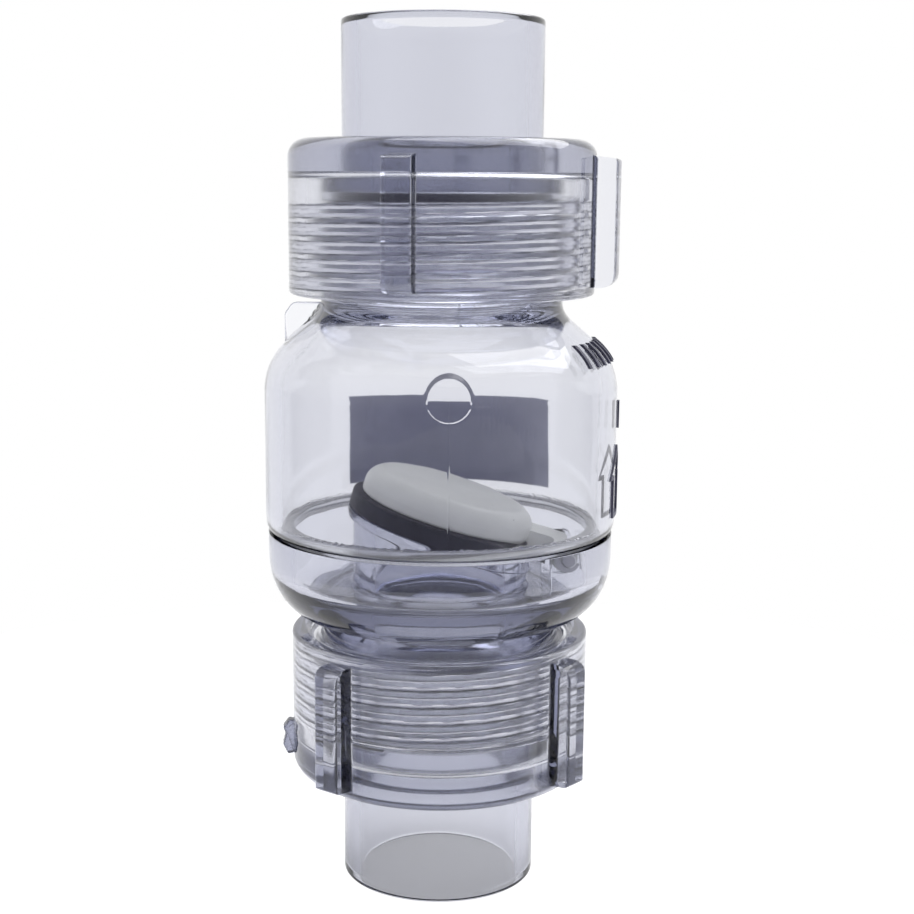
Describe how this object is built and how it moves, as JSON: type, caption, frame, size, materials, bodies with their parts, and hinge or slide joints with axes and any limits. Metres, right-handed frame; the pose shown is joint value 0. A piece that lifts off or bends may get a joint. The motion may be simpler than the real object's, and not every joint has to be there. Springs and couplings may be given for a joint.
{
  "type": "check valve",
  "caption": "Clear plastic true-union swing check valve that stands upright, with solvent pipe sockets, threaded union nuts with lugs, and a tilted weighted flapper inside.",
  "frame": {"origin": "centre of the inlet socket's mouth, at the bottom of the valve", "axes": "+Z along the bore in the direction of flow, up; -Y is the front with the gate boss; +X is the flapper's hinge side"},
  "size_m": [0.1044, 0.1048, 0.2544],
  "materials": {
    "clear_plastic": "clear moulded PVC, glossy, slightly cool",
    "white_plastic": "satin moulded white plastic",
    "black_rubber": "matt moulded rubber",
    "stainless": "plain stainless",
    "label_vinyl": "satin printed vinyl, blank",
    "mark_ink": "dark printed ink"
  },
  "bodies": {
    "valve_body": {"upper_body": "clear_plastic", "lower_body": "clear_plastic", "hinge_pin": "stainless", "hinge_pin_clips": "stainless", "hinge_spacers": "white_plastic", "rear_label": "label_vinyl", "flow_marks": "mark_ink"},
    "flapper": {"flapper_disc": "white_plastic", "flapper_seal": "black_rubber", "seal_retainer": "stainless", "retainer_screw": "stainless"},
    "upper_tail": {"upper_end_connector": "clear_plastic", "upper_face_o_ring": "black_rubber"},
    "upper_nut": {"upper_union_nut": "clear_plastic"},
    "lower_tail": {"lower_end_connector": "clear_plastic", "lower_face_o_ring": "black_rubber"},
    "lower_nut": {"lower_union_nut": "clear_plastic"}
  },
  "joints": [
    {"name": "flapper_swing", "type": "hinge", "parent": "valve_body", "child": "flapper", "pos_m": [0.0365, 0, 0.10096], "axis": [0, 1, 0], "range_deg": [0, 62]},
    {"name": "upper_tail_lift", "type": "slide", "parent": "valve_body", "child": "upper_tail", "axis": [0, 0, 1], "range_m": [0, 0.02501]},
    {"name": "upper_nut_turn", "type": "hinge", "parent": "upper_tail", "child": "upper_nut", "pos_m": [0, 0, 0.2], "axis": [0, 0, 1], "range_deg": [0, 1800]},
    {"name": "lower_tail_drop", "type": "slide", "parent": "valve_body", "child": "lower_tail", "axis": [0, 0, -1], "range_m": [0, 0.02501]},
    {"name": "lower_nut_turn", "type": "hinge", "parent": "lower_tail", "child": "lower_nut", "pos_m": [0, 0, 0.0544], "axis": [0, 0, -1], "range_deg": [0, 1800]}
  ],
  "couplings": [
    {"joint": "upper_tail_lift", "follows": "upper_nut_turn", "m_per_rad": 0.00079577},
    {"joint": "lower_tail_drop", "follows": "lower_nut_turn", "m_per_rad": 0.00079577}
  ]
}
